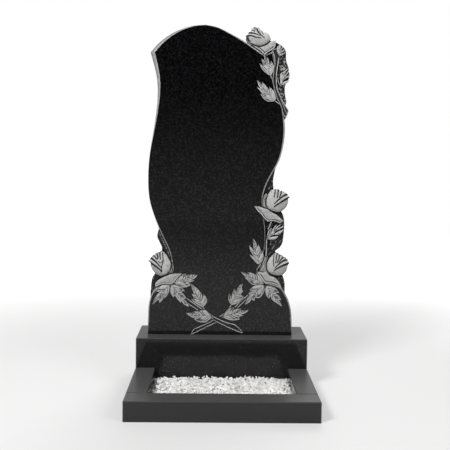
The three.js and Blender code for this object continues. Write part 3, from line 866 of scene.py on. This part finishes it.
def face_points(forms, grounds):
    """Corners of the carved face: outlines, their walls and a fine grid between."""
    corners, edges = [], []

    def draw(loop):
        start = sum(len(part) for part in corners)
        corners.append(loop)
        count = len(loop)
        edges.extend((start + i, start + (i + 1) % count) for i in range(count))

    columns = np.arange(-306, 306, GRID)
    rows = np.arange(1, 1290, GRID * 0.866)
    lattice = np.stack(np.meshgrid(columns, rows), -1)
    lattice[1::2, :, 0] += GRID / 2
    coarse = np.zeros(lattice.shape[:2], bool)
    coarse[::4, ::2] = True
    coarse[2::4, 1::2] = True
    lattice, coarse = lattice.reshape(-1, 2), coarse.ravel()
    kept = np.zeros(len(lattice), bool)

    def fill(loop, fine, clear):
        rows = np.nonzero(in_box(lattice, loop) & ~kept & (fine | coarse))[0]
        kept[rows[within(lattice[rows], loop) > clear]] = True

    for loop in grounds:
        draw(loop)
        fill(loop, False, 0.8)
    body = forms[0][0]
    ground_rows = np.nonzero(kept)[0]
    kept[ground_rows[within(lattice[ground_rows], body) > -0.8]] = False
    draw(body)
    draw(ring_at(body, -bevel_width(body)[:, None]))
    draw(ring_at(body, WALL))
    for loop, *_ in forms[1:]:
        draw(loop)
        draw(ring_at(loop, WALL))
        fill(loop, True, 0.7)
    return np.concatenate([*corners, lattice[kept]]), edges


def union(points, loops):
    """Which points lie inside any of the outlines."""
    inside = np.zeros(len(points), bool)
    for loop in loops:
        rows = np.nonzero(~inside & in_box(points, loop))[0]
        inside[rows] = within(points[rows], loop) > 0
    return inside


def rims(triangles):
    """The loops of edges that belong to one face only."""
    count = triangles.max() + 1
    pairs = np.concatenate([triangles[:, [0, 1]], triangles[:, [1, 2]], triangles[:, [2, 0]]])
    forward = pairs[:, 0] * count + pairs[:, 1]
    backward = pairs[:, 1] * count + pairs[:, 0]
    free = pairs[~np.isin(forward, backward)]
    after = {}
    for start, end in free.tolist():
        after.setdefault(start, []).append(end)
    loops = []
    while after:
        path = [next(iter(after))]
        while path[-1] in after:
            ways = after[path[-1]]
            step = ways.pop()
            if not ways:
                del after[path[-1]]
            if step in path:
                first = path.index(step)
                loops.append(path[first:])
                path = path[:first + 1]
            else:
                path.append(step)
    return sorted(loops, key=len, reverse=True)


BARE_FROST = 0.02
SAME_PLACE = 0.5
BACK_ARRIS = 1.0
SHARP_ANGLE = math.radians(34)
CUT, POLISHED, SIDE = range(3)


def to_stone(points, depth):
    """Face millimetres to metres in the frame of the whole object."""
    return np.stack([
        STELE_FOOT.x + points[:, 0] * MM,
        STELE_FOOT.y + depth * MM,
        STELE_FOOT.z + points[:, 1] * MM], 1)


def carved_triangles(forms, grounds):
    """The face in triangles, wherever there is a form or lowered ground."""
    corners, edges = face_points(forms, grounds)
    made = delaunay_2d_cdt([Vector(p) for p in corners], edges, [], 0, 1e-3)
    points = np.array([(p.x, p.y) for p in made[0]])
    triangles = np.array(made[2])
    loops = grounds + [loop for loop, _, grows, _ in forms if grows]
    triangles = triangles[union(points[triangles].mean(1), loops)]
    a, b, c = (points[triangles[:, k]] for k in range(3))
    triangles = triangles[np.abs(cross(b - a, c - a)) > 1e-5]
    used, triangles = np.unique(triangles, return_inverse=True)
    return points[used], triangles.reshape(-1, 3)


def tool_ground(relief, body):
    """Chisel marks on the lowered ground: slanting strokes, and blobs at the top right."""
    points = relief.points
    uneven = rubble(points, 7, 1) * 3.2 + rubble(points, 3.4, 2) * 1.4
    relief.depth += uneven - 2.3
    slant = points @ np.array([[0.5, 0.87], [0.87, -0.5]]) / (11, 3.0)
    relief.frost[:] = BARE_FROST + 0.65 * ease((rubble(slant, 1, 5) - 0.74) * 6)
    upper = points[:, 1] > 930
    blobs = ease((rubble(points[upper], 6, 4) - 0.56) * 5)
    relief.frost[upper] = BARE_FROST + 0.7 * blobs

    # At the left a row of short strokes follows the edge of the polished face.
    beside, along, _ = nearest(points, body, True)
    left = (points[:, 0] < 0) & (points[:, 1] > 260)
    relief.frost[left] = BARE_FROST
    relief.frost[left & (np.abs(beside - 9.5) < 1.8) & (along % 9 < 4.5)] = 0.6
    relief.lay = points @ np.array([[0.42, 0.05], [-0.25, 0.1]])


def tuck_in(rim, forms, grounds):
    """The outline of the slab behind the carving, and the place in it for each rim point."""
    loops = grounds + [forms[0][0]]
    for loop, *_ in forms[-len(ROSES):]:
        centre = loop.mean(0)
        loops.append(centre + 0.95 * (loop - centre))
    gap = np.full(len(rim), FAR)
    tucked = rim.copy()
    for loop in loops:
        inside = within(rim, loop) > -0.05
        away, _, place = nearest(rim, loop, True)
        away[inside], place[inside] = 0, rim[inside]
        nearer = away < gap
        gap[nearer], tucked[nearer] = away[nearer], place[nearer]

    # Neighbours that tuck in to the same place share one corner.
    chosen, shared = [0], np.zeros(len(rim), int)
    for i in range(1, len(rim)):
        if np.linalg.norm(tucked[i] - tucked[chosen[-1]]) > SAME_PLACE:
            chosen.append(i)
        shared[i] = len(chosen) - 1
    while np.linalg.norm(tucked[chosen[-1]] - tucked[0]) < SAME_PLACE:
        shared[shared == len(chosen) - 1] = 0
        chosen.pop()
    return tucked[chosen], shared


def slab_faces(outer, shared, count, ring, inset):
    """The walls from the rim to the back, as two lists: the sides and the polished back."""
    sides = []
    for i, start in enumerate(outer):
        j = (i + 1) % len(outer)
        wall = [outer[j], start, count + shared[i], count + shared[j]]
        sides.append(tuple(int(v) for v in dict.fromkeys(wall)))
    for near in (count, count + ring):
        for i in range(ring):
            j = (i + 1) % ring
            sides.append((near + j, near + i, near + ring + i, near + ring + j))
    last = count + 2 * ring
    flat = [Vector((x, z, 0)) for x, z in inset]
    back = [tuple(last + i for i in reversed(t)) for t in tessellate_polygon([flat])]
    return sides, back


def finish_attributes(mesh, relief, kinds, padding):
    """Tells the material what is polished and what is cut, and parts the two by a sharp edge."""
    totals = np.zeros(len(mesh.polygons), int)
    mesh.polygons.foreach_get("loop_total", totals)
    owner = np.repeat(np.arange(len(totals)), totals)
    corner_of = np.zeros(len(mesh.loops), int)
    mesh.loops.foreach_get("vertex_index", corner_of)
    polished, side = kinds[owner] == POLISHED, kinds[owner] == SIDE
    frost = np.concatenate([relief.frost, np.zeros(padding)])[corner_of]
    frost = np.where(polished, 0, np.where(side, 0.03, frost))
    matt = np.where(polished, 0, np.where(side, 0.3, 1.0))
    for name, values in (("frost", frost), ("matt", matt)):
        mesh.attributes.new(name, "FLOAT", "CORNER").data.foreach_set("value", values)
    lay = np.zeros((len(relief.lay) + padding, 3))
    lay[:len(relief.lay), :2] = relief.lay
    mesh.attributes.new("lay", "FLOAT_VECTOR", "POINT").data.foreach_set("vector", lay.ravel())
    mesh.validate()
    mesh.shade_smooth()
    mesh.set_sharp_from_angle(angle=SHARP_ANGLE)
    sharp = np.zeros(len(mesh.edges), bool)
    mesh.attributes["sharp_edge"].data.foreach_get("value", sharp)
    edge_of = np.zeros(len(mesh.loops), int)
    mesh.loops.foreach_get("edge_index", edge_of)
    bright = np.bincount(edge_of, weights=polished, minlength=len(mesh.edges))
    sharp |= bright == 1
    mesh.attributes["sharp_edge"].data.foreach_set("value", sharp)


def build_stele():
    forms = carve()
    grounds = [soften(outline) for outline in GROUNDS]
    points, triangles = carved_triangles(forms, grounds)
    relief = Relief(points)
    tool_ground(relief, forms[0][0])
    for loop, shape, _, shaded_trench in forms:
        relief.stand(loop, shape, shaded_trench)

    outer, *pinholes = rims(triangles)
    fans = [(hole[0], b, a) for hole in pinholes for a, b in zip(hole[1:], hole[2:])]
    triangles = np.concatenate([triangles, np.array(fans, int).reshape(-1, 3)])
    below, shared = tuck_in(points[outer], forms, grounds)
    shelf = np.full(len(below), GROUND + 2.0)
    np.maximum.at(shelf, shared, relief.depth[outer] + 0.8)
    inset = ring_at(below, -BACK_ARRIS)
    vertices = np.concatenate([
        to_stone(points, relief.depth), to_stone(below, shelf),
        to_stone(below, np.full(len(below), THICKNESS - BACK_ARRIS)),
        to_stone(inset, np.full(len(below), THICKNESS))])
    sides, back = slab_faces(outer, shared, len(points), len(below), inset)
    polished = (relief.depth[triangles] < 0.005).all(1)
    kinds = np.concatenate([
        np.where(polished, POLISHED, CUT), np.full(len(sides), SIDE),
        np.full(len(back), POLISHED)])

    mesh = bpy.data.meshes.new("stele")
    mesh.from_pydata(vertices.tolist(), [], triangles.tolist() + sides + back)
    finish_attributes(mesh, relief, kinds, 3 * len(below))
    mesh.materials.append(GRANITE)
    stele = bpy.data.objects.new("stele_carved", mesh)
    bpy.context.collection.objects.link(stele)
    return stele


stele = build_stele()
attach(stele, "root")
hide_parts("stele")

# The plinth: one sawn and polished block of the same granite that the
# upright stone is doweled and glued to. Its arrises are eased with a stone.
BLOCK_ARRIS = 0.003
ARRIS_FINISH = {"matt": 0.4, "frost": 0.22}
TOP_FINISH = {"matt": 0.35, "frost": 0.34}
SIDE_MATT = 0.05
SQUARE = 0.95


def polished_block(name, node, dust_and_reflection):
    """A block the size of its solid, with eased top and upright arrises, and sides lightened for a
    little dust and a painted reflection.
    """
    low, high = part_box(node)
    low, high = Vector(low), Vector(high)
    mesh = bpy.data.meshes.new(name)
    shape = bmesh.new()
    bmesh.ops.create_cube(shape, size=1.0)
    size, middle = high - low, (high + low) / 2
    for vertex in shape.verts:
        vertex.co = Vector(a * b for a, b in zip(vertex.co, size)) + middle
    standing = [edge for edge in shape.edges
                if max(vertex.co.z for vertex in edge.verts) > low.z + BLOCK_ARRIS]
    bmesh.ops.bevel(
        shape, geom=standing, offset=BLOCK_ARRIS, offset_type="OFFSET", segments=1,
        profile=0.5, affect="EDGES", clamp_overlap=True)
    shape.normal_update()
    layers = {key: shape.loops.layers.float.new(key) for key in ("matt", "frost")}
    for face in shape.faces:
        finish = {"matt": SIDE_MATT, "frost": dust_and_reflection}
        if max(abs(n) for n in face.normal) < SQUARE:
            finish = ARRIS_FINISH
        elif face.normal.z > SQUARE:
            finish = TOP_FINISH
        for loop in face.loops:
            for key, layer in layers.items():
                loop[layer] = finish[key]
    shape.to_mesh(mesh)
    shape.free()
    mesh.materials.append(GRANITE)
    block = bpy.data.objects.new(name, mesh)
    bpy.context.collection.objects.link(block)
    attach(block, "root")
    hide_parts(node)


polished_block("plinth_block", "plinth", 0.15)

# The kerb: three polished granite bars bedded on the ground round the planting
# bed. The front bar runs over the whole width and the side bars butt against it.
# The sides are lightened, most on the front bar: dust and a painted reflection of the floor.
for side, dust_and_reflection in (("front", 0.95), ("left", 0.65), ("right", 0.65)):
    polished_block(f"kerb_{side}_bar", f"kerb_{side}", dust_and_reflection)

# The filling of the bed: crushed white marble, tipped in and raked level.
# Splinters of 10 to 28 mm lie on a packed layer of the same stone.
CHIP_COUNT = 2600
CHIP_KINDS = 40
CHIP_REACH = (0.0055, 0.0135)
BED_LEVEL = 0.030
BED_UNEVEN = 0.003
CHIP_TOP = 0.044
BED_CELLS = (54, 28)
PACKED_TONE = 0.3


def marble():
    white = Finish(bpy.data.materials.new("crushed_marble"))
    place = white.node("ShaderNodeTexCoord", {}, {}, "Object")
    tone = white.node("ShaderNodeAttribute", {"attribute_name": "tone"}, {}, "Fac")
    cloud = white.noise(place, 90.0, 3.0)
    grain = white.noise(place, 700.0, 2.0)
    shade = tone * (0.75 + 0.35 * cloud)
    colour = white.node("ShaderNodeValToRGB", {"stops": [
        (0.0, (0.45, 0.44, 0.42)), (0.3, (0.88, 0.87, 0.85)), (0.7, (0.99, 0.985, 0.97))]},
        {"Fac": shade})
    bump = white.node("ShaderNodeBump", {}, {"Height": grain, "Strength": 0.25, "Distance": 0.001})
    white.surface(Base_Color=colour, Roughness=0.45 + 0.3 * grain, Normal=bump)
    return white.owner


def chip_kinds(draw):
    """Splinters as convex hulls of points thrown into a long flat ellipsoid."""
    kinds = []
    for _ in range(CHIP_KINDS):
        spots = draw.normal(size=(10, 3))
        spots /= np.linalg.norm(spots, axis=1)[:, None]
        spots *= draw.uniform(0.8, 1.0, (10, 1))
        shape = bmesh.new()
        for spot in spots:
            shape.verts.new(spot)
        bmesh.ops.convex_hull(shape, input=shape.verts)
        loose = {v for v in shape.verts if not v.link_faces}
        bmesh.ops.delete(shape, geom=list(loose), context="VERTS")
        shape.verts.index_update()
        kinds.append((
            np.array([v.co for v in shape.verts]),
            [[v.index for v in face.verts] for face in shape.faces]))
        shape.free()
    return kinds


def build_chips():
    """Loose chips by the thousand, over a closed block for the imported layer."""
    draw = np.random.default_rng(11)
    low, high = (np.array(corner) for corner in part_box("marble_chips"))
    kinds = chip_kinds(draw)
    vertices, faces, tones = [], [], []
    start = 0
    for chip in range(CHIP_COUNT):
        spots, hull = kinds[chip % CHIP_KINDS]
        length = draw.uniform(*CHIP_REACH)
        size = length * np.array([1.0, draw.uniform(0.4, 0.75), draw.uniform(0.3, 0.55)])
        yaw, pitch, roll = draw.uniform(0, 2 * np.pi), draw.normal(0, 0.38), draw.normal(0, 0.4)
        turn = np.array(Matrix.Rotation(yaw, 3, "Z") @ Matrix.Rotation(pitch, 3, "Y")
                        @ Matrix.Rotation(roll, 3, "X"))
        shape = (spots * size) @ turn.T
        reach = np.abs(shape).max(0) + 0.0006
        x = draw.uniform(low[0] + reach[0], high[0] - reach[0])
        y = draw.uniform(low[1] + reach[1], high[1] - reach[1])
        heap = 0.0035 * math.sin(x * 23 + 1) * math.cos(y * 31)
        z = BED_LEVEL + heap + (CHIP_TOP - BED_LEVEL) * draw.uniform(0, 0.8)
        z = min(z, CHIP_TOP + 0.004 - shape[:, 2].max())
        vertices.append(shape + (x, y, z))
        faces.extend([start + i for i in face] for face in hull)
        tones.extend([draw.uniform(0.35, 1.0)] * len(spots))
        start += len(spots)
    columns, rows = BED_CELLS
    xs = np.linspace(low[0], high[0], columns + 1)
    ys = np.linspace(low[1], high[1], rows + 1)
    top = np.array([
        (x, y, BED_LEVEL + draw.uniform(-BED_UNEVEN, BED_UNEVEN)) for y in ys for x in xs])
    bottom = top * (1, 1, 0) + (0, 0, low[2])
    across = columns + 1
    for j in range(rows):
        for i in range(columns):
            a = start + j * across + i
            faces.append([a, a + 1, a + across + 1, a + across])
            b = a + len(top)
            faces.append([b + across, b + across + 1, b + 1, b])
    rim = list(range(columns))
    rim += [columns + j * across for j in range(rows)]
    rim += [rows * across + i for i in range(columns, 0, -1)]
    rim += [j * across for j in range(rows, 0, -1)]
    for i, corner in enumerate(rim):
        after = rim[(i + 1) % len(rim)]
        a, b = start + corner, start + after
        faces.append([b, a, a + len(top), b + len(top)])
    vertices += [top, bottom]
    tones += [PACKED_TONE] * (2 * len(top))
    mesh = bpy.data.meshes.new("marble_chips")
    mesh.from_pydata(np.concatenate(vertices).tolist(), [], faces)
    mesh.attributes.new("tone", "FLOAT", "POINT").data.foreach_set("value", tones)
    mesh.materials.append(marble())
    chips = bpy.data.objects.new("crushed_marble", mesh)
    bpy.context.collection.objects.link(chips)
    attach(chips, "root")
    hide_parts("marble_chips")


build_chips()

# The studio: a pale floor that runs far out and glows with a painted light of its own, lighter
# further out for the camera and dim in what is mirrored, soft lamps for the carving, and a
# surround that shows white but is mirrored darker, most of all high in front.
FLOOR_HALF = 7.0
FLOOR_GREY = (0.50, 0.50, 0.497, 1)
SHOWN_NEAR, SHOWN_FAR = (0.30, 0.30, 0.30, 1), (0.85, 0.85, 0.85, 1)
MIRRORED_NEAR, MIRRORED_FAR = (0, 0, 0, 1), (0.17, 0.17, 0.17, 1)
FRONT_LOW, FRONT_HIGH, BEHIND = 0.40, 0.02, 0.45
LAMPS = [
    ("key", (-2.2, -2.2, 3.4), (0, 0.1, 0.7), 1.2, 150),
    ("fill", (2.6, -1.6, 2.6), (0, 0.1, 0.6), 1.8, 45),
    ("back", (0.6, 2.6, 3.0), (0, 0.1, 0.5), 2.0, 60)]


def build_floor():
    floor = Finish(bpy.data.materials.new("pale_floor"))
    place = floor.node("ShaderNodeTexCoord", {}, {}, "Object")
    away = floor.node("ShaderNodeVectorMath", {"operation": "LENGTH"}, {0: place}, 1)
    seen = floor.node("ShaderNodeLightPath", {}, {}, "Is Camera Ray")
    # Painted glow of the floor: to the camera it brightens further out, and in reflections it
    # glows dimly, more far away.
    shown = floor.blend(floor.between(away, 0.9, 3.4), SHOWN_NEAR, SHOWN_FAR)
    mirrored = floor.blend(floor.between(away, 2.5, 7.0), MIRRORED_NEAR, MIRRORED_FAR)
    floor.surface(
        Base_Color=FLOOR_GREY, Roughness=0.9,
        Emission_Color=floor.blend(seen, mirrored, shown), Emission_Strength=1.0)
    mesh = bpy.data.meshes.new("floor")
    signs = ((-1, -1), (1, -1), (1, 1), (-1, 1))
    corners = [(x * FLOOR_HALF, y * FLOOR_HALF, 0) for x, y in signs]
    mesh.from_pydata(corners, [], [(0, 1, 2, 3)])
    mesh.materials.append(floor.owner)
    plane = bpy.data.objects.new("floor", mesh)
    bpy.context.collection.objects.link(plane)


def build_surround():
    sky = Finish(bpy.data.worlds.new("studio"), "Background")
    place = sky.node("ShaderNodeTexCoord", {}, {}, "Generated")
    upward = sky.node("ShaderNodeSeparateXYZ", {}, {"Vector": place}, "Z")
    backward = sky.node("ShaderNodeSeparateXYZ", {}, {"Vector": place}, "Y")
    front = FRONT_LOW - (FRONT_LOW - FRONT_HIGH) * sky.between(upward, -0.12, 0.15)
    around = front + (BEHIND - front) * sky.between(backward, -0.4, 0.5)
    seen = sky.node("ShaderNodeLightPath", {}, {}, "Is Camera Ray")
    sky.surface(Color=around + (1 - around) * seen)
    scene.world = sky.owner


def build_lamps():
    for name, place, aim, size, power in LAMPS:
        lamp = bpy.data.lights.new(name, "AREA")
        lamp.size = size
        lamp.energy = power
        light = bpy.data.objects.new(name, lamp)
        light.location = place
        light.rotation_euler = (Vector(aim) - Vector(place)).to_track_quat("-Z", "Y").to_euler()
        bpy.context.collection.objects.link(light)


build_floor()
build_surround()
build_lamps()
